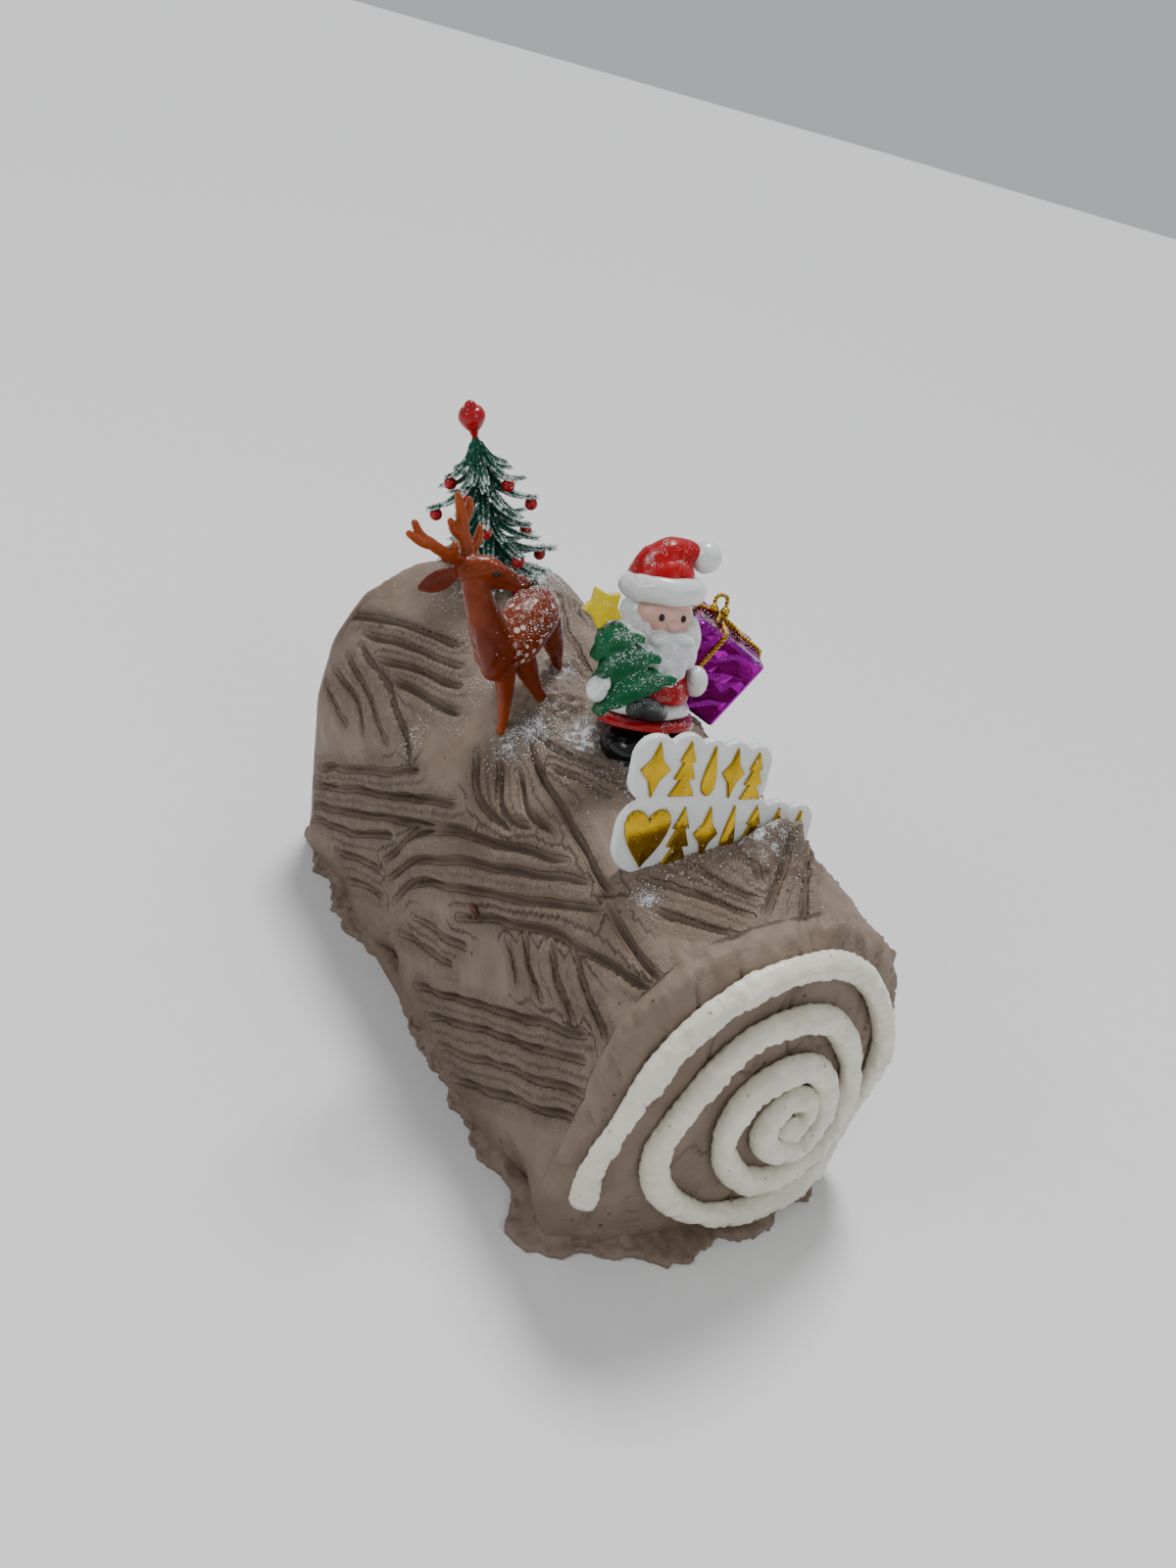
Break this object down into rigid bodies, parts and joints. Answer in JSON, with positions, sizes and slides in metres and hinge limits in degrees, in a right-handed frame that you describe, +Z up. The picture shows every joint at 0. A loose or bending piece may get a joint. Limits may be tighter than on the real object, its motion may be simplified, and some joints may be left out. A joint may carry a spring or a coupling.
{
  "type": "yule log cake",
  "caption": "Cream-covered yule log cake with a fork-combed bark finish, a piped cream spiral on each end and moulded plastic festive toppers.",
  "frame": {"origin": "on the surface it rests on, under the middle of the log's length, near the middle of its width", "axes": "+Z up; +Y along the log from the front spiral end to the back end; +X to the right seen from the front"},
  "size_m": [0.1352, 0.217, 0.1643],
  "materials": {
    "cocoa_cream": "chocolate buttercream, combed with a fork, matt with a faint waxy sheen",
    "white_cream": "piped ivory buttercream, soft satin with small air bubbles",
    "white_plastic": "glossy white moulded plastic, dusted with icing sugar",
    "red_plastic": "glossy red paint on moulded plastic",
    "black_plastic": "glossy black paint on moulded plastic",
    "skin_plastic": "satin skin-coloured plastic",
    "green_plastic": "glossy green paint on moulded plastic",
    "yellow_plastic": "glossy yellow paint on moulded plastic",
    "grey_plastic": "dark painted plastic",
    "fir_plastic": "dark green moulded plastic with white frosted tips",
    "fawn_plastic": "red-brown semi-gloss moulded plastic with pale spots",
    "purple_foil": "mirror-like purple foil with small wrinkles",
    "gold_cord": "twisted metallic gold thread"
  },
  "bodies": {
    "root": {"cake_log": "cocoa_cream", "cream_spiral_front": "white_cream", "cream_spiral_back": "white_cream", "deer": "fawn_plastic", "figure_boots": "black_plastic", "figure_base": "red_plastic", "figure_trim": "white_plastic", "figure_coat": "red_plastic", "figure_brim": "white_plastic", "figure_face": "skin_plastic", "figure_cap": "red_plastic", "figure_beard": "white_plastic", "figure_sapling": "green_plastic", "figure_pouch": "grey_plastic", "figure_mitten_left": "white_plastic", "figure_mitten_right": "white_plastic", "figure_pompom": "white_plastic", "figure_star": "yellow_plastic", "plaque": "white_plastic", "gift_box": "purple_foil", "gift_cord": "gold_cord", "fir_ball": "red_plastic", "fir_tree": "fir_plastic"}
  },
  "joints": []
}
